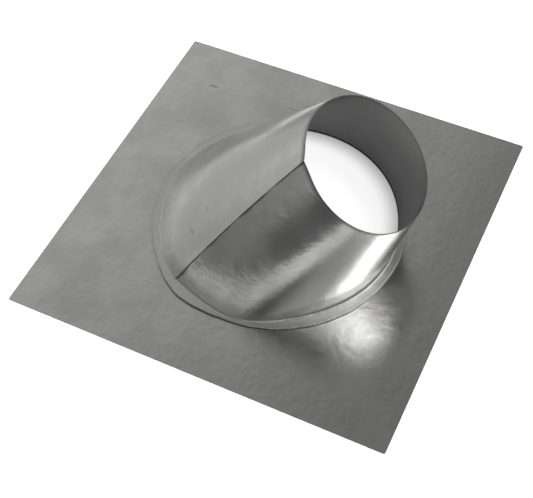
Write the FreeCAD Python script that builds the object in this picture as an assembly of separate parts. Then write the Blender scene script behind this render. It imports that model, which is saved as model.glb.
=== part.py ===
"""Chimney flashing for a pitched roof, in millimetres.

A square sheet with a round hole in its middle carries an oblique cone, rolled from one
sheet, that turns the round hole into a round mouth square to the flue. The plate lies on
the roof slope, so the flue leaves it at the roof's pitch from the plate's normal. The cone
leans towards +X. The two sheets are joined all round by a knocked-down lock seam: the edge
of the hole is folded back over the plate, and the cone's flange lies on that lip and hooks
under its edge.

Frame: +Z up, the plate's underside on z = 0, origin at the middle of the plate.
"""
import FreeCAD, Part
import math
import os

from FreeCAD import Vector

# Driving dimensions
plate_side = 450.0         # side of the square plate
plate_corner = 1.5         # radius of the plate's corners
sheet = 0.7                # thickness of both sheets
roof_pitch = 35.0          # degrees between the plate's normal and the flue's axis
flue_diameter = 150.0      # outside diameter of the pipe that passes through
flue_clearance = 0.8       # room between the pipe and the cone's mouth, each side
mouth_reach = 185.0        # from the middle of the plate to the middle of the mouth
foot_radius = 139.0        # outside of the cone where it meets its flange
seam_width = 12.0           # how far the lock seam stands out from the cone's foot
seam_play = 0.05           # play between the folded layers of the lock seam
hook_length = 7.0          # how far the cone's hem reaches back under the plate's lip
foot_bend = 2.5            # bend radius on the outside of the cone's foot
lap_bearing = 240.0        # degrees round the foot from +X to the lap's outer edge
lap_width = 12.0           # overlap of the rolled sheet's two ends, at the foot
lap_joggle = 8.0           # width of the slope that brings the outer end back down
end_flat = 21.0            # width that the rollers leave flat at each end of the sheet
ruling_count = 44          # rulings that carry the rolled part of the sheet
flat_rulings = 4           # rulings across the flat of each end, beside the lap
lap_rulings = 6            # rulings across the lap and its joggle

# Levels of the lock seam's four layers, from the plate up
layer = sheet + seam_play
hook_bottom = layer
lip_bottom = 2 * layer
flange_bottom = 3 * layer
flange_top = flange_bottom + sheet
fold_inside = sheet / 2 + seam_play
fold_outside = fold_inside + sheet

# Radii of the lock seam
seam_radius = foot_radius + seam_width
hem_centre_radius = seam_radius - fold_outside
lip_radius = hem_centre_radius - seam_play
hole_fold_radius = foot_radius + fold_inside

# Mouth of the cone
mouth_radius = flue_diameter / 2 + flue_clearance + sheet
pitch = math.radians(roof_pitch)
axis = Vector(math.sin(pitch), 0, math.cos(pitch))
mouth_down = Vector(math.cos(pitch), 0, -math.sin(pitch))
across = Vector(0, 1, 0)
mouth_centre = axis * mouth_reach
foot_centre = Vector(0, 0, flange_top)

# Line in which the mouth's plane meets the foot's plane
mouth_to_line = (mouth_centre.z - flange_top) / math.sin(pitch)
foot_to_line = mouth_centre.x + mouth_to_line * math.cos(pitch)

# Bearings round the foot between which the lap lies
lap_edge = math.radians(lap_bearing)
lap_flat = lap_width / foot_radius
lap_whole = lap_flat + lap_joggle / foot_radius
full_turn = 2 * math.pi


def mouth_bearing(bearing):
    """Bearing round the mouth whose ruling starts at this bearing round the foot.

    On a rolled sheet the tangents at both ends of a ruling lie in one plane, so they
    cross the line shared by the planes of the foot and the mouth at the same point.
    """
    turns, bearing = divmod(bearing, full_turn)
    if abs(math.sin(bearing)) < 1e-9:
        return turns * full_turn + bearing
    side = 1 if bearing < math.pi else -1
    crossing = (foot_radius - foot_to_line * math.cos(bearing)) / math.sin(bearing) * side
    swing = math.acos(mouth_radius / math.hypot(mouth_to_line, crossing))
    partner = math.atan2(crossing, mouth_to_line) + swing
    return turns * full_turn + (partner if side > 0 else full_turn - partner)


def ridge(bearing, radius):
    """How far the sheet stands off a circle of this radius beside the seam.

    The two flat ends are tangents to the circle, and meet in a low ridge at the seam.
    """
    from_seam = (bearing - lap_edge) % full_turn
    left = max(end_flat - radius * min(from_seam, full_turn - from_seam), 0)
    return left * left / (2 * radius)


def wall_section(bearing, offset, flange_level, bend):
    """Five points that carry the sheet's face at one bearing, moved out by offset.

    The first four are the poles of the bend out of the flange, and the last is the
    ruling's end at the mouth.
    """
    outward_flat = Vector(math.cos(bearing), math.sin(bearing), 0)
    tangent = Vector(-math.sin(bearing), math.cos(bearing), 0)
    foot = foot_centre + outward_flat * foot_radius
    partner = mouth_bearing(bearing)
    mouth = mouth_centre + (mouth_down * math.cos(partner) + across * math.sin(partner)) * mouth_radius
    along = (mouth - foot).normalize()
    square = tangent.cross(along).normalize()
    start = foot + square * (offset + ridge(bearing, foot_radius))
    end = mouth + square * (offset + ridge(bearing, mouth_radius))
    along = (end - start).normalize()
    crease = start + along * ((flange_level - start.z) / along.z)
    end = start + along * ((mouth_centre - start).dot(axis) / along.dot(axis))
    turn = math.acos(square.z)
    setback = bend * math.tan(turn / 2)
    grip = 4 / 3 * math.tan(turn / 4) / math.tan(turn / 2)
    bend_foot = crease + outward_flat * setback
    bend_top = crease + along * (setback * math.sin(turn) / along.z)
    lower = bend_foot + (crease - bend_foot) * grip
    upper = bend_top + (crease - bend_top) * grip
    return bend_foot, lower, upper, bend_top, end


def through(points, bearings):
    """Smooth curve with one point at each bearing."""
    curve = Part.BSplineCurve()
    curve.interpolate(Points=list(points), Parameters=bearings)
    return curve


def surface_across(pattern, poles, weights):
    """Surface that runs round the foot as the pattern curve does, with its poles in rows across."""
    count = len(poles[0])
    surface = Part.BSplineSurface()
    surface.buildFromPolesMultsKnots(
        poles, pattern.getMultiplicities(), [count] * 2, pattern.getKnots(), [0, 1],
        False, False, pattern.Degree, count - 1, weights)
    return surface


def bend_surface(rows, bearings):
    """Round bend out of the flange, from the four rows of its poles."""
    curves = [through(row, bearings) for row in rows]
    poles = [list(pole) for pole in zip(*[curve.getPoles() for curve in curves])]
    return surface_across(curves[0], poles, [[1] * len(rows)] * len(poles))


def wall_surface(rows, bearings):
    """Rulings from the bend's row to the mouth's row.

    The mouth is weighted by how much faster the ruling's lower end runs. A line that is
    straight in the surface's parameters is then straight on the flattened sheet too.
    """
    low, high = [through(row, bearings) for row in rows]
    ratios = [low.getDN(bearing, 1).Length / high.getDN(bearing, 1).Length for bearing in bearings]
    lifted = through([end * ratio for end, ratio in zip(rows[1], ratios)], bearings)
    weights = [pole.x for pole in through([Vector(ratio, 0, 0) for ratio in ratios], bearings).getPoles()]
    ends = [pole * (1 / weight) for pole, weight in zip(lifted.getPoles(), weights)]
    poles = [list(pair) for pair in zip(low.getPoles(), ends)]
    return surface_across(low, poles, [[1, weight] for weight in weights])


def patches(surface, bearings):
    """Faces between neighbouring bearings, with their lower and upper edges."""
    faces, lower, upper = [], [], []
    for start, end in zip(bearings, bearings[1:]):
        patch = surface.copy()
        patch.segment(start, end, 0, 1)
        faces.append(patch.toShape())
        lower.append(patch.vIso(0).toShape())
        upper.append(patch.vIso(1).toShape())
    return faces, lower, upper


def lap_offset(bearing):
    """How far the outer end stands off as it rides over the inner end."""
    share = (bearing - lap_edge - full_turn + lap_whole) / (lap_whole - lap_flat)
    share = min(max(share, 0.0), 1.0)
    return sheet * share * share * (3 - 2 * share)


def evenly(first, last, count):
    """Evenly spaced bearings from first to last."""
    return [first + (last - first) * k / count for k in range(count + 1)]


def edge_between(edges):
    """Straight edge that joins the end of a row of edges to its start."""
    return Part.makeLine(edges[-1].lastVertex().Point, edges[0].firstVertex().Point)


def ring_face(outer, inner):
    """Flat face between two loops of edges."""
    return Part.makeFace([Part.Wire(outer), Part.Wire(inner)], "Part::FaceMakerBullseye")


def circle(radius, height):
    """Level circle round the origin."""
    return Part.makeCircle(radius, Vector(0, 0, height))


def revolved_sides(corners, arcs, closed):
    """Sides of a section turned once round Z.

    corners are (radius, height) in order. arcs gives the point that the side after a
    corner passes through, by that corner's number, where the side is round.
    """
    places = [Vector(radius, 0, height) for radius, height in corners]
    following = places[1:] + places[:1] if closed else places[1:]
    faces = []
    for number, (place, after) in enumerate(zip(places, following)):
        if number in arcs:
            radius, height = arcs[number]
            side = Part.Arc(place, Vector(radius, 0, height), after).toBSpline().toShape()
        else:
            side = Part.makeLine(place, after)
        faces.append(side.revolve(Vector(0, 0, 0), Vector(0, 0, 1), 360))
    return faces


def solid_of(faces):
    """Closed solid from faces that meet edge to edge."""
    skin = Part.makeShell(faces)
    skin.sewShape()
    solid = Part.makeSolid(skin)
    if solid.Volume < 0:
        solid.reverse()
    return solid


def hem_faces():
    """The flange's edge, folded down and back to hook under the plate's lip.

    Inside the fold the metal is hammered square against the lip's edge.
    """
    hem_tip = hem_centre_radius - hook_length
    middle = (hook_bottom + flange_top) / 2
    corners = [
        (hem_centre_radius, flange_bottom),
        (hem_centre_radius, hook_bottom + sheet),
        (hem_tip, hook_bottom + sheet),
        (hem_tip, hook_bottom),
        (hem_centre_radius, hook_bottom),
        (hem_centre_radius, flange_top),
    ]
    return revolved_sides(corners, {4: (seam_radius, middle)}, closed=False)


def flue_cone():
    """The rolled wall, its flange and its hem, one sheet."""
    flat_turn = end_flat / mouth_radius
    bearings = evenly(lap_edge, lap_edge + flat_turn, flat_rulings)
    bearings += evenly(bearings[-1], lap_edge + full_turn - flat_turn, ruling_count)[1:]
    bearings += evenly(bearings[-1], lap_edge + full_turn - lap_whole, flat_rulings)[1:]
    bearings += evenly(bearings[-1], lap_edge + full_turn, lap_rulings)[1:]
    outside = [wall_section(b, lap_offset(b), flange_top, foot_bend) for b in bearings]
    inside = [wall_section(b, -sheet, flange_bottom, foot_bend + sheet) for b in bearings]
    outer_rows = list(zip(*outside))
    inner_rows = list(zip(*inside))
    outer_round = bend_surface(outer_rows[:4], bearings)
    outer_bend, outer_foot, outer_top = patches(outer_round, bearings)
    outer_wall, _, outer_mouth = patches(wall_surface(outer_rows[3:], bearings), bearings)
    inner_bend, inner_foot, _ = patches(bend_surface(inner_rows[:4], bearings), bearings)
    inner_wall, _, inner_mouth = patches(wall_surface(inner_rows[3:], bearings), bearings)

    foot_step = edge_between(outer_foot)
    mouth_step = edge_between(outer_mouth)
    wall_step = Part.makeRuledSurface(edge_between(outer_top), mouth_step)
    bend_ends = [outer_round.uIso(bearing).toShape() for bearing in (bearings[0], bearings[-1])]
    bend_step = Part.makeRuledSurface(*bend_ends)

    flange_upper = ring_face([circle(hem_centre_radius, flange_top)], outer_foot + [foot_step])
    flange_lower = ring_face([circle(hem_centre_radius, flange_bottom)], inner_foot)
    mouth_rim = ring_face(outer_mouth + [mouth_step], inner_mouth)
    wall = outer_bend + outer_wall + inner_bend + inner_wall
    steps = [wall_step, bend_step, mouth_rim, flange_upper, flange_lower]
    return solid_of(wall + steps + hem_faces())


def base_plate():
    """The square sheet, its hole's edge folded back into a lip."""
    blank = Part.makeBox(plate_side, plate_side, sheet, Vector(-plate_side / 2, -plate_side / 2, 0))
    upright = [side for side in blank.Edges if abs(side.Curve.Direction.z) > 0.5]
    blank = blank.makeFillet(plate_corner, upright)
    blank = blank.cut(Part.makeCylinder(lip_radius, 3 * sheet, Vector(0, 0, -sheet)))
    middle = (lip_bottom + sheet) / 2
    corners = [
        (lip_radius, 0),
        (lip_radius, sheet),
        (hole_fold_radius, sheet),
        (hole_fold_radius, lip_bottom),
        (lip_radius, lip_bottom),
        (lip_radius, lip_bottom + sheet),
        (hole_fold_radius, lip_bottom + sheet),
        (hole_fold_radius, 0),
    ]
    arcs = {6: (hole_fold_radius - fold_outside, middle)}
    lip = solid_of(revolved_sides(corners, arcs, closed=True))
    return blank.fuse(lip).removeSplitter()


pieces = {"base_plate": base_plate(), "flue_cone": flue_cone()}

os.makedirs("parts", exist_ok=True)
for name, shape in pieces.items():
    solid = shape.Solids[0]
    print(name, "solids", len(shape.Solids), "valid", solid.isValid(), "volume", round(solid.Volume, 1))
    solid.exportStep("parts/" + name + ".step")
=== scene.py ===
import math

import bmesh
import bpy
import numpy as np
from mathutils import Matrix, Vector


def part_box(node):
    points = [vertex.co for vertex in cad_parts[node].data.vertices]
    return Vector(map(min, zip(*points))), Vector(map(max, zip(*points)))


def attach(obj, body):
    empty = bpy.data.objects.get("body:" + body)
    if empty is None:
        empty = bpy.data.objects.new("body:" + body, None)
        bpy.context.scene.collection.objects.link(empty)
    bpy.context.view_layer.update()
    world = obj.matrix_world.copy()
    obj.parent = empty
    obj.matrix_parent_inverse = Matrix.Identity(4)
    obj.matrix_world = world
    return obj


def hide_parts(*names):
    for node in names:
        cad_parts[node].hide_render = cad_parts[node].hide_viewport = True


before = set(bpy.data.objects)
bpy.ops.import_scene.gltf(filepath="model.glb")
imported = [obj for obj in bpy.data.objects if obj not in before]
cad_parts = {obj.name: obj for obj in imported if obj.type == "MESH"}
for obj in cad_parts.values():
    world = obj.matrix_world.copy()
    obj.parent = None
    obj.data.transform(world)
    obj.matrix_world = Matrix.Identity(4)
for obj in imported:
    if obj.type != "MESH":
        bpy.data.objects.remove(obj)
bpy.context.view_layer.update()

turn = 2 * math.pi

# what both sheets share, in metres
sheetStock = {
    "thickness": 0.0007,
    "play": 0.00005,  # between the folded layers of the seam
    "foldPoints": 13,  # round a fold in section
    "weld": 1e-6,  # points nearer than this become one
    "sharpDegrees": 40,  # edges that turn more than this stay sharp
}

# the lock seam's outer edge, hammered by hand
seamRing = {
    "radius": -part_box("flue_cone")[0].x,
    # humps: bearing and half width in degrees, metres outwards
    "swells": ((200, 38, -0.0055), (247, 13, 0.004), (268, 9, -0.001), (318, 22, 0.001), (165, 10, -0.002)),
    "wobble": 0.0004,
    "wobbleWaves": ((11, 0, 1), (23, 0, 2), (41, 0, 0)),  # round the ring, none upwards, phase
}


def smoothRamp(share):
    # 0 below 0, 1 above 1, and 3s2 - 2s3 between
    share = np.clip(share, 0.0, 1.0)
    return share * share * (3 - 2 * share)


def swell(distance):
    # one soft hump: exp(-d2)
    return np.exp(-distance * distance)


def sumOfSines(waves, along, across):
    # a sine for each wave: its count along, its count across, its phase
    return sum(np.sin(first * along + second * across + phase) for first, second, phase in waves)


def angleFrom(bearing, degrees):
    # signed degrees from one bearing to another, between -180 and 180
    return np.mod(np.degrees(bearing) - degrees + 180, 360) - 180


def ringShift(bearing):
    # how far the seam's outer edge stands off its circle: the mean of three sines for the
    # hammer's marks, and humps
    shift = seamRing["wobble"] * sumOfSines(seamRing["wobbleWaves"], bearing, 0) / 3
    for centre, width, amount in seamRing["swells"]:
        shift = shift + amount * swell(angleFrom(bearing, centre) / width)
    return shift


def footShift(bearing, share=0.0):
    # how far the wall stands off its circle, at a share of the height: humps that die away upwards
    return sum(amount * swell(angleFrom(bearing, centre) / width) * np.exp(-share / reach)
               for centre, width, amount, reach in cone["footShifts"])


def paint(mesh, name, values):
    # a number, or a vector, for each point of the mesh
    values = np.asarray(values, dtype=np.float32)
    isVector = values.ndim == 3
    attribute = mesh.attributes.new(name, "FLOAT_VECTOR" if isVector else "FLOAT", "POINT")
    attribute.data.foreach_set("vector" if isVector else "value", values.ravel())


def meshFromGrid(name, points, painted):
    # points is rows x columns x 3. Rows run round the piece and columns along its section,
    # and both close on themselves. Each cell becomes one quad, facing out.
    number = np.arange(points.shape[0] * points.shape[1]).reshape(points.shape[:2])
    after = np.roll(number, -1, axis=0)
    quads = np.stack([number, after, np.roll(after, -1, axis=1), np.roll(number, -1, axis=1)], axis=-1)
    mesh = bpy.data.meshes.new(name)
    mesh.from_pydata(points.reshape(-1, 3).tolist(), [], quads.reshape(-1, 4).tolist())
    for label, values in painted.items():
        paint(mesh, label, values)
    piece = bpy.data.objects.new(name, mesh)
    bpy.context.scene.collection.objects.link(piece)
    work = bmesh.new()
    work.from_mesh(mesh)
    bmesh.ops.remove_doubles(work, verts=work.verts, dist=sheetStock["weld"])
    bmesh.ops.recalc_face_normals(work, faces=work.faces)
    work.to_mesh(mesh)
    work.free()
    mesh.polygons.foreach_set("use_smooth", np.ones(len(mesh.polygons), bool))
    mesh.set_sharp_from_angle(angle=math.radians(sheetStock["sharpDegrees"]))
    return piece


def halfRound(centreRadius, centreHeight, radius, first, last):
    # points of a round fold in section: radius and height from its centre
    angle = np.radians(np.linspace(first, last, sheetStock["foldPoints"]))
    return np.stack([centreRadius + radius * np.cos(angle), centreHeight + radius * np.sin(angle)], axis=1)


# the square plate and the lip round its hole
plate = {
    "side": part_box("base_plate")[1].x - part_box("base_plate")[0].x,
    "cornerRadius": 0.0015,
    "holeRadius": 0.1394,  # middle of the lip's fold
    "lipInset": 0.00115,  # of the lip's edge from the seam's outside
    "flatFrom": 0.1400,  # the flat's rows start under the seam here
    "flatRows": 56,
    "edgeRound": 0.00012,
    "aroundCount": 600,
    "rise": 0.0004,  # how far the sheet's middle waves up from the floor
    "waves": ((21, 9, 0.6), (-13, 25, 2.1), (34, -17, 4.0)),  # along x, along y, phase
    "rimFade": 0.05,  # widths in which the waves die out
    "seamFade": 0.03,
    "seamStiff": 0.158,  # radius inside which there are none
    "darkening": 0.1,  # painted shadow along the seam's outer edge, from 0 to 1
    "gapShadow": 0.6,  # more painted shadow where the seam stands a little off the plate
    "gapBearing": 262,
    "gapHalfWidth": 9,
    "shadowReach": 0.0016,
}


def roundedSquare(side, cornerRadius, count):
    # points at even steps along a square with round corners, from the middle of the +X side
    straight = side / 2 - cornerRadius
    arc = cornerRadius * turn / 4
    quarter = 2 * straight + arc
    travelled = (np.arange(count) / count) * 4 * quarter
    number = np.floor((travelled + quarter / 2) / quarter)
    along = travelled - number * quarter  # from -quarter/2 to quarter/2 about the side's middle
    beyond = np.clip((np.abs(along) - straight) / arc, 0, 0.5) * turn / 4
    reach = straight + cornerRadius * np.cos(beyond)
    aside = np.sign(along) * (np.minimum(np.abs(along), straight) + cornerRadius * np.sin(beyond))
    heading = number * turn / 4
    x = reach * np.cos(heading) - aside * np.sin(heading)
    y = reach * np.sin(heading) + aside * np.cos(heading)
    return np.stack([x, y], axis=1)


def plateWave(x, y):
    # slow waves of a thin sheet: three crossed sines, brought between 0 and 1, that fade out
    # at the rim and at the seam
    half = plate["side"] / 2
    fade = smoothRamp((half - np.maximum(np.abs(x), np.abs(y))) / plate["rimFade"])
    fade = fade * smoothRamp((np.hypot(x, y) - plate["seamStiff"]) / plate["seamFade"])
    return plate["rise"] * fade * (0.5 + sumOfSines(plate["waves"], x, y) / 6)


def makeBasePlate():
    # a closed section at each bearing: up round the fold, over the lip and back under it,
    # out along the flat to the rim, and home along the underside. On the flat a point is
    # circle * (1 - share) + square * share.
    sheet, play = sheetStock["thickness"], sheetStock["play"]
    half = plate["side"] / 2
    edge = roundedSquare(plate["side"], plate["cornerRadius"], plate["aroundCount"])
    bearing = np.arctan2(edge[:, 1], edge[:, 0])
    outward = np.stack([np.cos(bearing), np.sin(bearing)], axis=1)
    lipBottom = 2 * (sheet + play)
    fold = halfRound(plate["holeRadius"], (lipBottom + sheet) / 2, sheet / 2 + play + sheet, 270, 90)
    lipEdge = seamRing["radius"] - plate["lipInset"]

    # section rows: share of the way from the circle to the square, radius, height, and
    # whether the row follows the seam's hammered edge (1), the cone's foot (2) or neither (0)
    rows = [(0, radius, height, 2) for radius, height in fold]
    rows += [(0, lipEdge, lipBottom + sheet, 1), (0, lipEdge, lipBottom, 1)]
    rows += [(0, plate["holeRadius"], lipBottom, 2), (0, plate["holeRadius"], sheet, 2)]
    outShares = np.linspace(0, 1, plate["flatRows"])
    rows += [(share, plate["flatFrom"], sheet, 2) for share in outShares]
    rimTop = len(rows) - 1
    rows += [(1, 0, sheet - plate["edgeRound"], 0), (1, 0, plate["edgeRound"], 0)]
    rows += [(share, plate["flatFrom"], 0, 2) for share in outShares[::-1]]
    share, radius, height, follows = np.array(rows).T
    seam, foot = ringShift(bearing)[:, None], footShift(bearing)[:, None]
    radii = radius + (follows == 1) * seam + (follows == 2) * foot
    circle = outward[:, None, :] * radii[:, :, None]
    flat = circle * (1 - share)[None, :, None] + edge[:, None, :] * share[None, :, None]
    inset = np.ones_like(height)
    inset[[rimTop, rimTop + 3]] = 1 - plate["edgeRound"] / half  # eases the rim's two edges
    flat = flat * inset[None, :, None]
    level = np.broadcast_to(height[None, :, None], flat.shape[:2] + (1,))
    points = np.concatenate([flat, level], axis=2)
    points[:, :, 2] += plateWave(points[:, :, 0], points[:, :, 1])

    # painted shadow lies along the seam's outer edge, deepest where the seam stands off the plate
    beyond = np.hypot(points[:, :, 0], points[:, :, 1]) - (seamRing["radius"] + seam)
    gap = swell(angleFrom(bearing, plate["gapBearing"]) / plate["gapHalfWidth"])[:, None]
    darkMask = (plate["darkening"] + plate["gapShadow"] * gap) * swell(beyond / plate["shadowReach"])
    return meshFromGrid("basePlate", points, {"darkMask": darkMask, "dull": 0 * darkMask, "sheetPlace": points})


# the rolled cone with its flange and hem
cone = {
    "footRadius": 0.139,
    "leanDegrees": 35.0,
    "mouthReach": 0.185,  # from the plate's middle to the mouth's middle
    "mouthRadius": 0.0765,
    "bendRadius": 0.0025,
    "bendRows": 9,
    "hookLength": 0.007,
    "hookRoom": 0.0006,  # between the hook's tip and the middle of the plate's fold
    "hemFlat": 0.0008,  # level stretch inside the hem's fold
    "lapDegrees": 241.6,  # where the lap's edge leaves the foot
    "lapSkew": -9.6,  # and how far it has turned at the mouth
    "lapWidth": 0.012,
    "lapJoggle": 0.030,
    "endFlat": 0.021,  # width that the rollers leave flat at each end of the sheet
    "aroundCount": 840,
    "wallRows": 40,
    # the foot was knocked out of round: bearing and half width in degrees, metres, share of
    # the height in which it dies away
    "footShifts": (
        (72, 50, 0.005, 0.13),
        (279, 15, 0.0055, 0.22),
        (316, 14, -0.001, 0.13),
        (200, 22, -0.003, 0.13),
    ),
    "hammered": 0.00012,  # waves that the knocking down left in the wall's foot
    "hammerWaves": ((31, 9, 0), (47, 0, 1.3), (73, -14, 0)),  # round, upwards, phase
    "hammerReach": 0.12,  # share of the height in which they die away
    "hammerRise": 0.03,  # and in which they set in
    # painted shade, and a darker upper fold, from 0 to 1: reaches and places are shares of the height,
    # widths are in metres
    # painted shadow beside the lap's edge
    "lapShadow": 0.8,
    "lapShadowWidth": 0.0013,
    "lapShadowWaves": (0.0012, 34, 13),
    "lapShadowSwell": (0.0008, 0.62, 0.05),  # one wider place
    # painted shade along the raw rim, outside and inside
    "rimShade": 0.8,
    "rimShadeInside": 0.5,
    "rimShadeReach": 0.008,
    # painted shade in the bend
    "bendShade": 0.35,
    "bendShadeFront": 0.5,  # more at the front
    "bendShadePlace": (0.25, 0.4),  # its middle and half width, as shares of the bend
    # darker on the upper half of the seam's fold
    "foldDarkening": 0.3,
    "seamFrontShade": 0.42,  # painted shade on the seam's front
    "frontBearing": 308,
    "frontHalfWidth": 32,
    "dullReach": 0.05,  # of the hammered look, up the wall
    "grainHeight": 0.15,  # of the wall, for the rolled grain
    "insideGrain": 1.0,  # sets the inner face's grain apart from the outer one's
}


def coneFrame():
    # the flue's axis, the mouth's own down and across, and the mouth's middle
    lean = math.radians(cone["leanDegrees"])
    axis = np.array([math.sin(lean), 0.0, math.cos(lean)])
    down = np.array([math.cos(lean), 0.0, -math.sin(lean)])
    across = np.array([0.0, 1.0, 0.0])
    return axis, down, across, axis * cone["mouthReach"]


def mouthBearing(bearing, flangeTop):
    # bearing round the mouth of the ruling that leaves the foot at this bearing: the
    # tangents at both its ends meet on the line shared by the two circles' planes
    lean = math.radians(cone["leanDegrees"])
    centre = coneFrame()[3]
    mouthToLine = (centre[2] - flangeTop) / math.sin(lean)
    footToLine = centre[0] + mouthToLine * math.cos(lean)
    turns = np.floor(bearing / turn)
    hair, leastSine = 1e-7, 1e-9  # where a tangent runs beside the line, it meets it far away
    inside = np.clip(bearing - turns * turn, hair, turn - hair)
    sine = np.maximum(np.abs(np.sin(inside)), leastSine)
    crossing = (cone["footRadius"] - footToLine * np.cos(inside)) / sine
    opening = np.arccos(cone["mouthRadius"] / np.hypot(mouthToLine, crossing))
    partner = np.arctan2(crossing, mouthToLine) + opening
    return turns * turn + np.where(inside < math.pi, partner, turn - partner)


def flatRidge(bearing, share, radius):
    # both flat ends are tangents to the rolled circle, and meet in a low ridge at the lap:
    # the square of the width left to the flat's end, over twice the radius
    lapAt = cone["lapDegrees"] + cone["lapSkew"] * share
    fromLap = np.radians(np.abs(angleFrom(bearing, lapAt)))
    left = np.clip(cone["endFlat"] - radius * fromLap, 0, None)
    return left * left / (2 * radius)


def hammerMarks(bearing, share):
    # the mean of three sines round and up the wall, under a hump at the foot
    sines = sumOfSines(cone["hammerWaves"], bearing, share)
    return cone["hammered"] * swell(share / cone["hammerReach"]) * sines / 3


def rulings(bearing, share, offset, level, flangeTop):
    # crease at the flange's level and end at the mouth's plane, of the ruling through
    # each bearing, moved out from the rolled circles by the offset and the ridge
    axis, down, across, centre = coneFrame()
    zero = np.zeros_like(bearing)
    outward = np.stack([np.cos(bearing), np.sin(bearing), zero], axis=-1)
    tangent = np.stack([-np.sin(bearing), np.cos(bearing), zero], axis=-1)
    foot = outward * cone["footRadius"] + np.array([0, 0, flangeTop])
    partner = mouthBearing(bearing, flangeTop)[..., None]
    mouth = centre + (down * np.cos(partner) + across * np.sin(partner)) * cone["mouthRadius"]
    square = np.cross(tangent, mouth - foot)
    square /= np.linalg.norm(square, axis=-1)[..., None]
    start = foot + square * (offset + flatRidge(bearing, share, cone["footRadius"]))[..., None]
    end = mouth + square * (offset + flatRidge(bearing, share, cone["mouthRadius"]))[..., None]
    along = end - start
    along /= np.linalg.norm(along, axis=-1)[..., None]
    crease = start + along * ((level - start[..., 2]) / along[..., 2])[..., None]
    end = start + along * (((centre - start) @ axis) / (along @ axis))[..., None]
    return crease, end, along, square, outward


def wallRows(travel, offset, level, bend, flangeTop):
    # one face of the rolled sheet, at shares of the way round from the lap: the bend out of
    # the flange (a cubic with the grip that makes it round), then straight up to the mouth
    shares = np.linspace(0, 1, cone["wallRows"])
    lapEdge = np.radians(cone["lapDegrees"])
    bearing = lapEdge + travel * turn
    crease, end, along, square, outward = rulings(bearing, 0 * bearing, offset, level, flangeTop)
    bendTurn = np.arccos(np.clip(square[:, 2], -1, 1))
    setback = bend * np.tan(bendTurn / 2)
    grip = (4 / 3 * np.tan(bendTurn / 4) / np.tan(bendTurn / 2))[:, None]
    bendFoot = crease + outward * setback[:, None]
    bendTop = crease + along * (setback * np.sin(bendTurn) / along[:, 2])[:, None]
    lower = bendFoot + (crease - bendFoot) * grip
    upper = bendTop + (crease - bendTop) * grip
    s = np.linspace(0, 1, cone["bendRows"])[None, :, None]
    bendRows = (bendFoot[:, None] * (1 - s) ** 3 + 3 * lower[:, None] * s * (1 - s) ** 2
                + 3 * upper[:, None] * s * s * (1 - s) + bendTop[:, None] * s ** 3)

    # up the wall the lap's edge turns away from the ruling, and the grid turns with it
    share = np.broadcast_to(shares[None, :], (len(travel), len(shares)))
    bearing = lapEdge + np.radians(cone["lapSkew"]) * share + travel[:, None] * turn
    offsets = offset[:, None] + 0 * share
    crease, end, along, square, outward = rulings(bearing, share, offsets, level, flangeTop)
    bendTurn = np.arccos(np.clip(square[..., 2], -1, 1))
    rise = bend * np.tan(bendTurn / 2) * np.sin(bendTurn) / along[..., 2]
    top = crease + along * rise[..., None]
    wall = top * (1 - share)[..., None] + end * share[..., None]
    marks = hammerMarks(bearing, share) * smoothRamp(share / cone["hammerRise"])
    wall = wall + square * marks[..., None]
    wall = wall + outward * footShift(bearing, share)[..., None]
    bendRows = bendRows + outward[:, :1] * footShift(bearing)[:, :1, None]
    return np.concatenate([bendRows, wall[:, 1:]], axis=1), shares


def seamSection():
    # radius and height down the hem's inside, in and out along the hook, round the fold
    # and in again on the flange's top
    sheet, play = sheetStock["thickness"], sheetStock["play"]
    layer = sheet + play
    flangeBottom = 3 * layer
    flangeTop = flangeBottom + sheet
    foldOutside = sheet / 2 + play + sheet
    hemCentre = seamRing["radius"] - foldOutside
    hemTip = hemCentre - cone["hookLength"]
    hook = [(hemCentre, flangeBottom), (hemCentre, layer + sheet), (hemTip, layer + sheet), (hemTip, layer)]
    fold = halfRound(hemCentre, (layer + flangeTop) / 2, foldOutside, -90, 90)
    return np.concatenate([hook, fold, [(hemCentre - cone["hemFlat"], flangeTop)]]), flangeBottom, flangeTop


def coneDarkMask(travel, bearing, shares, ringCount):
    # painted shade beside the lap's edge, at the raw rim, in the bend and on the seam's front, and a darker
    # upper half of the fold: each is a hump or a ramp of the distance from its place
    around = travel[:, None] * turn * cone["footRadius"]
    climb = np.concatenate([np.zeros(cone["bendRows"] - 1), shares])
    strip = np.broadcast_to(climb[None, :], (len(travel), len(climb)))
    waved, often, seldom = cone["lapShadowWaves"]
    wider, place, halfWidth = cone["lapShadowSwell"]
    width = cone["lapShadowWidth"] + waved * np.sin(often * strip) * np.sin(seldom * strip + 1)
    width = width + wider * swell((strip - place) / halfWidth)
    atRim = swell((1 - strip) / cone["rimShadeReach"])
    outer = cone["lapShadow"] * smoothRamp(2 - around / width) + cone["rimShade"] * atRim

    middle, halfWidth = cone["bendShadePlace"]
    inBend = swell((np.linspace(0, 1, cone["bendRows"]) - middle) / halfWidth)
    inBend = np.concatenate([inBend, np.zeros(len(shares) - 1)])
    front = swell(angleFrom(bearing, cone["frontBearing"]) / cone["frontHalfWidth"])[:, None]
    outer = outer + (cone["bendShade"] + cone["bendShadeFront"] * front) * inBend
    outer[:, :1] = cone["seamFrontShade"] * front
    upperFold = sheetStock["foldPoints"] // 2
    # a darker upper half of the fold, and painted shade on the seam's front
    ring = np.zeros(ringCount)
    ring[-1 - upperFold:-1] = cone["foldDarkening"]
    inner = cone["rimShadeInside"] * atRim[:, ::-1]
    return np.concatenate([ring + cone["seamFrontShade"] * front, outer, inner], axis=1), around, strip


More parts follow.
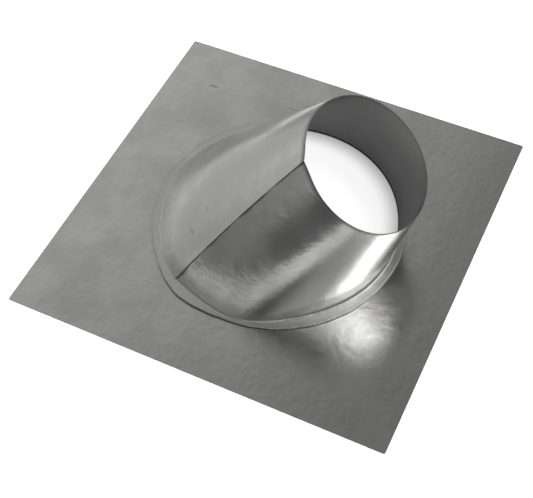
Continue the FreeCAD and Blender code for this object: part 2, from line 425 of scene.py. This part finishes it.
def makeFlueCone():
    # the seam's section, the wall's outer face and its inner face, at each step round from
    # the lap: the outer end stands a sheet's thickness off, and ramps down past the lap
    sheet = sheetStock["thickness"]
    ring, flangeBottom, flangeTop = seamSection()
    travel = np.linspace(0, 1, cone["aroundCount"] + 1)
    fromEnd = (1 - travel) * turn * cone["footRadius"]
    over = 1 - smoothRamp((fromEnd - cone["lapWidth"]) / cone["lapJoggle"])
    bend = cone["bendRadius"]
    outer, shares = wallRows(travel, sheet * over, flangeTop, bend, flangeTop)
    inner, shares = wallRows(travel, 0 * over - sheet, flangeBottom, bend + sheet, flangeTop)

    # the seam's rows are level lines that follow the hammered edge, and the hook's tip
    # keeps clear of the plate's fold
    bearing = math.radians(cone["lapDegrees"]) + travel * turn
    radii = ring[None, :, 0] + ringShift(bearing)[:, None]
    clearOfFold = plate["holeRadius"] + footShift(bearing) + cone["hookRoom"]
    radii[:, 2:4] = np.maximum(radii[:, 2:4], clearOfFold[:, None])
    heights = np.broadcast_to(ring[None, :, 1], radii.shape)
    east, north = radii * np.cos(bearing)[:, None], radii * np.sin(bearing)[:, None]
    ringRows = np.stack([east, north, heights], axis=-1)
    points = np.concatenate([ringRows, outer, inner[:, ::-1]], axis=1)

    # painted values: painted shade and a darker fold, where the sheet is dull from the hammer, and the place
    # on the flat sheet before it was rolled, which its grain follows
    darkMask, around, strip = coneDarkMask(travel, bearing, shares, len(ring))
    zeros = np.zeros_like(strip)
    dull = np.concatenate([np.ones(radii.shape), swell(strip / cone["dullReach"]), zeros], axis=1)
    wallPlace = np.stack([np.broadcast_to(around, strip.shape), cone["grainHeight"] * strip, zeros], axis=-1)
    innerPlace = wallPlace[:, ::-1] + np.array([0, 0, cone["insideGrain"]])
    ringAround = np.broadcast_to(around, radii.shape)
    ringPlace = np.stack([ringAround, radii - cone["footRadius"], heights], axis=-1)
    place = np.concatenate([ringPlace, wallPlace, innerPlace], axis=1)
    painted = {"darkMask": np.clip(darkMask, 0, 1), "dull": dull, "sheetPlace": place}
    return meshFromGrid("flueCone", points, painted)


basePlate = makeBasePlate()
flueCone = makeFlueCone()
print("sheets made", len(basePlate.data.polygons), len(flueCone.data.polygons))


# finish of the sheet: dull rolled steel, with grain, oil clouds, scratches, and painted shade at the folds
sheetFinish = {
    "colour": (0.325, 0.325, 0.32),
    "tints": (1.05, 0.93),  # of the colour in the clear and in the dull clouds
    # of the painted shade and the scratches
    "darkColour": (0.035, 0.034, 0.032),
    "roughness": (0.18, 0.27),  # in the clear and in the dull clouds
    "dullRoughness": 0.14,  # more on the hammered seam
    "darkeningRoughness": 0.25,  # and more where the painted shade and the scratches lie
    "noiseRoughness": 0.55,
    "cloudScale": 16.0,
    "cloudDetail": 4.0,
    "cloudEdge": (0.35, 0.68),
    "grainScale": (26.0, 950.0, 40.0),  # long along the rolling direction
    "grainDetail": 3.0,
    "grainDepth": 0.000012,
    "dimpleScale": 95.0,
    "dimpleDepth": 0.0002,
    "fleckScale": 420.0,
    "fleckDepth": 0.00002,
    "fleckEdge": (0.25, 0.6),
    "fleckDarkening": (0.55, 1.0),  # what the flecks leave of the painted shade
    "scratchScale": (14.0, 190.0, 30.0),
    "scratchLimit": (0.735, 0.76),
    "scratchDepth": 0.00004,
    "scratchDirt": 0.5,
    "fineDetail": 2.0,  # of dimples, flecks and scratches
}


def feed(socket, value):
    # a link from another socket, or a plain number or colour
    if isinstance(value, bpy.types.NodeSocket):
        socket.id_data.links.new(value, socket)
    else:
        socket.default_value = value


def setInputs(node, values):
    for name, value in values.items():
        feed(node.inputs[name], value)
    return node


def addMath(nodes, operation, first, second):
    node = nodes.new("ShaderNodeMath")
    node.operation = operation
    feed(node.inputs[0], first)
    feed(node.inputs[1], second)
    return node.outputs[0]


def addNoise(nodes, place, scale, detail):
    values = {"Vector": place, "Scale": scale, "Detail": detail, "Roughness": sheetFinish["noiseRoughness"]}
    return setInputs(nodes.new("ShaderNodeTexNoise"), values).outputs["Fac"]


def addRange(nodes, value, fromMin, fromMax, toMin, toMax):
    # a soft step from one level to another as the value goes from one limit to the other
    node = nodes.new("ShaderNodeMapRange")
    node.interpolation_type = "SMOOTHSTEP"
    return setInputs(node, {"Value": value, "From Min": fromMin, "From Max": fromMax,
                            "To Min": toMin, "To Max": toMax}).outputs["Result"]


def addStretch(nodes, place, scale):
    # the place times a scale along each axis
    return setInputs(nodes.new("ShaderNodeMapping"), {"Vector": place, "Scale": scale}).outputs["Vector"]


def addBump(nodes, height, depth, below=None):
    # relief of this depth in metres, on top of the relief below
    node = setInputs(nodes.new("ShaderNodeBump"), {"Height": height, "Distance": depth, "Strength": 1.0})
    if below is not None:
        feed(node.inputs["Normal"], below)
    return node.outputs["Normal"]


def addPainted(nodes, name, output):
    # what paint() left on the mesh
    node = nodes.new("ShaderNodeAttribute")
    node.attribute_name = name
    return node.outputs[output]


def addMix(nodes, share, first, second):
    # one colour into another
    node = nodes.new("ShaderNodeMix")
    node.data_type = "RGBA"
    feed(node.inputs[0], share)
    feed(node.inputs[6], first)
    feed(node.inputs[7], second)
    return node.outputs[2]


def startMaterial(name):
    material = bpy.data.materials.new(name)
    material.use_nodes = True
    return material, material.node_tree.nodes


def makeSheetFinish(name):
    finish = sheetFinish
    material, nodes = startMaterial(name)
    place = nodes.new("ShaderNodeTexCoord").outputs["Object"]
    rolled = addPainted(nodes, "sheetPlace", "Vector")
    darkMask = addPainted(nodes, "darkMask", "Fac")
    hammered = addPainted(nodes, "dull", "Fac")
    clouds = addNoise(nodes, place, finish["cloudScale"], finish["cloudDetail"])
    grain = addNoise(nodes, addStretch(nodes, rolled, finish["grainScale"]), 1.0, finish["grainDetail"])
    dimples = addNoise(nodes, place, finish["dimpleScale"], finish["fineDetail"])
    flecks = addNoise(nodes, place, finish["fleckScale"], finish["fineDetail"])
    marks = addNoise(nodes, addStretch(nodes, rolled, finish["scratchScale"]), 1.0, finish["fineDetail"])
    scratches = addRange(nodes, marks, *finish["scratchLimit"], 0.0, 1.0)

    # colour: the clean metal, a little lighter and darker in clouds, and dark where the painted shade and
    # the scratches lie
    clear, cloudy = ([part * tint for part in finish["colour"]] + [1] for tint in finish["tints"])
    clean = addMix(nodes, addRange(nodes, clouds, *finish["cloudEdge"], 0.0, 1.0), clear, cloudy)
    speckled = addRange(nodes, flecks, *finish["fleckEdge"], *finish["fleckDarkening"])
    scratched = addMath(nodes, "MULTIPLY", scratches, finish["scratchDirt"])
    # painted shade from the mesh, broken up by flecks, or scratches
    darkening = addMath(nodes, "MAXIMUM", addMath(nodes, "MULTIPLY", darkMask, speckled), scratched)
    colour = addMix(nodes, darkening, clean, (*finish["darkColour"], 1))

    # roughness: the clouds', and more on the painted shade, on scratches and on the hammered seam
    rough = addRange(nodes, clouds, *finish["cloudEdge"], *finish["roughness"])
    rough = addMath(nodes, "ADD", rough, addMath(nodes, "MULTIPLY", darkening, finish["darkeningRoughness"]))
    rough = addMath(nodes, "ADD", rough, addMath(nodes, "MULTIPLY", hammered, finish["dullRoughness"]))

    # relief: dimples, then grain, flecks and scratches on them
    bump = addBump(nodes, dimples, finish["dimpleDepth"])
    bump = addBump(nodes, grain, finish["grainDepth"], bump)
    bump = addBump(nodes, flecks, finish["fleckDepth"], bump)
    bump = addBump(nodes, addMath(nodes, "MULTIPLY", scratches, -1.0), finish["scratchDepth"], bump)
    shader = nodes["Principled BSDF"]
    setInputs(shader, {"Base Color": colour, "Metallic": 1.0, "Roughness": rough, "Normal": bump})
    return material


steel = makeSheetFinish("steelSheet")
for piece, node in ((basePlate, "base_plate"), (flueCone, "flue_cone")):
    piece.data.materials.append(steel)
    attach(piece, "root")
    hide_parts(node)
print("finish done")


# floor and light
studio = {
    "floorColour": 0.8,
    "floorRoughness": 0.9,
    "floorGloss": 0.1,
    "floorGlow": 0.12,
    "hollowGlow": 0.85,  # of the floor inside the plate's hole, as the camera sees it
    "hollowMirror": 0.12,  # and as the metal does, painted shade of the hollow under the cone
    "hollowShade": 0.47,  # painted shade: how much darker its colour is, so it gives back less of the lamps' light
    "hollowEdge": (0.118, 0.150),  # where that glow fades, a painted shade towards the seam
    "hollowFaded": 0.35,  # and the share of it that is left
    "hollowRadius": 0.155,
    "floorSize": 12.0,
    "floorDrop": 0.0001,  # under the plate
    "keyBearing": 10.0,
    "keyElevation": 57.0,
    "keyAngle": 30.0,
    "keyStrength": 3.3,
    "shade": 0.235,  # plain level of the room away from the white walls
    # white walls: direction, cosine at which they fade out, cosine at which they are full, strength
    "walls": (
        ((-0.694, 0.583, 0.423), 0.65, 1.0, 0.94),
        ((-0.987, 0.139, 0.087), 0.84, 0.93, 0.98),
        ((-0.643, -0.766, 0.03), 0.9, 1.0, 0.5),
        ((0.542, -0.454, 0.707), 0.85, 1.0, 2.2),
        ((0.36, 0.3, 0.883), 0.9, 1.0, 0.2),
        ((-0.222, -0.96, 0.174), 0.955, 1.0, 0.3),
        ((0.727, -0.155, 0.669), 0.955, 0.99, 4.0),
    ),
    # what the metal sees of the table round the white paper: corner, corner, strength
    "tables": (
        ((-6.0, -6.0), (6.0, -0.365), 0.18),
        ((-6.0, -0.365), (-0.4, 6.0), 0.86),
        ((-0.4, -0.365), (-0.26, 0.26), 0.9),
        ((-0.4, 0.26), (6.0, 6.0), 0.38),
    ),
    "tableHeight": 0.0005,
}


def makeRectangle(name, near, far, height):
    # a level rectangle between two corners
    mesh = bpy.data.meshes.new(name)
    corners = [near, (far[0], near[1]), far, (near[0], far[1])]
    mesh.from_pydata([(x, y, height) for x, y in corners], [], [(0, 1, 2, 3)])
    piece = bpy.data.objects.new(name, mesh)
    bpy.context.scene.collection.objects.link(piece)
    return piece


def makeFloor():
    # white paper. Its part in the plate's hole glows for the camera, less so towards the seam as painted
    # shade, glows little for the metal as painted shade under the cone, and has a darker colour, painted
    # shade that gives back less of the lamps' light.
    half = studio["floorSize"] / 2
    floor = makeRectangle("floor", (-half, -half), (half, half), 0)
    floor.location.z = -studio["floorDrop"]
    material, nodes = startMaterial("floorPaper")
    shader = nodes["Principled BSDF"]
    distance = nodes.new("ShaderNodeVectorMath")
    distance.operation = "LENGTH"
    feed(distance.inputs[0], nodes.new("ShaderNodeTexCoord").outputs["Object"])
    fromMiddle = distance.outputs["Value"]
    inHollow = addMath(nodes, "LESS_THAN", fromMiddle, studio["hollowRadius"])
    outside = addMath(nodes, "SUBTRACT", 1.0, inHollow)
    path = nodes.new("ShaderNodeLightPath").outputs
    mirrored = addMath(nodes, "ADD", path["Is Glossy Ray"], path["Is Transmission Ray"])
    seen = addMath(nodes, "ADD", path["Is Camera Ray"], mirrored)
    darker = addMath(nodes, "MULTIPLY", inHollow, studio["hollowShade"])
    setInputs(shader, {"Base Color": addMath(nodes, "SUBTRACT", studio["floorColour"], darker),
                       "Roughness": studio["floorRoughness"], "Specular IOR Level": studio["floorGloss"]})
    plain = addMath(nodes, "MULTIPLY", addMath(nodes, "MULTIPLY", seen, studio["floorGlow"]), outside)
    hollow = addMath(nodes, "ADD", addMath(nodes, "MULTIPLY", path["Is Camera Ray"], studio["hollowGlow"]),
                     addMath(nodes, "MULTIPLY", mirrored, studio["hollowMirror"]))
    fade = addRange(nodes, fromMiddle, *studio["hollowEdge"], 1.0, studio["hollowFaded"])
    hollow = addMath(nodes, "MULTIPLY", hollow, addMath(nodes, "MULTIPLY", inHollow, fade))
    glow = setInputs(nodes.new("ShaderNodeEmission"), {"Strength": addMath(nodes, "ADD", plain, hollow)})
    total = nodes.new("ShaderNodeAddShader")
    feed(total.inputs[0], shader.outputs[0])
    feed(total.inputs[1], glow.outputs[0])
    feed(nodes["Material Output"].inputs["Surface"], total.outputs[0])
    floor.data.materials.append(material)


def makeTables():
    # the darker table round the white paper; only mirrored rays meet it
    for number, (near, far, strength) in enumerate(studio["tables"]):
        table = makeRectangle("table%d" % number, near, far, studio["tableHeight"])
        material, nodes = startMaterial("tableShade%d" % number)
        nodes.remove(nodes["Principled BSDF"])
        shade = setInputs(nodes.new("ShaderNodeEmission"), {"Strength": strength})
        feed(nodes["Material Output"].inputs["Surface"], shade.outputs[0])
        table.data.materials.append(material)
        table.visible_camera = False
        table.visible_diffuse = False
        table.visible_shadow = False


def makeWorld():
    # an even shade, and white walls that each add a soft round patch of light
    world = bpy.data.worlds.new("studio")
    bpy.context.scene.world = world
    world.use_nodes = True
    nodes = world.node_tree.nodes
    sky = nodes.new("ShaderNodeTexCoord").outputs["Generated"]
    level = studio["shade"]
    for direction, fadeOut, full, strength in studio["walls"]:
        facing = nodes.new("ShaderNodeVectorMath")
        facing.operation = "DOT_PRODUCT"
        feed(facing.inputs[0], sky)
        feed(facing.inputs[1], direction)
        patch = addRange(nodes, facing.outputs["Value"], fadeOut, full, 0.0, strength)
        level = addMath(nodes, "ADD", level, patch)
    setInputs(nodes["Background"], {"Strength": level, "Color": (1, 1, 1, 1)})


def makeKeyLight():
    # one broad soft lamp, turned so that its light comes from this bearing and elevation
    bearing, elevation = math.radians(studio["keyBearing"]), math.radians(studio["keyElevation"])
    flat = math.cos(elevation)
    away = Vector((flat * math.cos(bearing), flat * math.sin(bearing), math.sin(elevation)))
    light = bpy.data.lights.new("keyLight", "SUN")
    light.angle = math.radians(studio["keyAngle"])
    light.energy = studio["keyStrength"]
    lamp = bpy.data.objects.new("keyLight", light)
    lamp.rotation_euler = away.to_track_quat("Z", "Y").to_euler()
    bpy.context.scene.collection.objects.link(lamp)


# the photograph's viewpoint: where the lens was, and the picture's right and up
viewpoint = {
    "place": (0.35193, -0.71286, 1.03444),
    "right": (0.90293, 0.42916, -0.02333),
    "up": (-0.33473, 0.73622, 0.58816),
    "focalPixels": 1120.55,
    "pictureWidth": 533,
    "sensorWidth": 36.0,
    "clip": (0.01, 50),
}


def makeCamera():
    # the lens looks against right x up
    data = bpy.data.cameras.new("camera")
    data.sensor_width = viewpoint["sensorWidth"]
    data.lens = viewpoint["focalPixels"] / viewpoint["pictureWidth"] * data.sensor_width
    data.clip_start, data.clip_end = viewpoint["clip"]
    camera = bpy.data.objects.new("camera", data)
    right, up = Vector(viewpoint["right"]).normalized(), Vector(viewpoint["up"])
    back = right.cross(up).normalized()
    up = back.cross(right)
    pose = Matrix((right, up, back)).transposed().to_4x4()
    pose.translation = Vector(viewpoint["place"])
    camera.matrix_world = pose
    bpy.context.scene.collection.objects.link(camera)
    bpy.context.scene.camera = camera


makeFloor()
makeTables()
makeWorld()
makeKeyLight()
makeCamera()
bpy.context.scene.view_settings.view_transform = "Standard"
print("floor, light and camera placed")
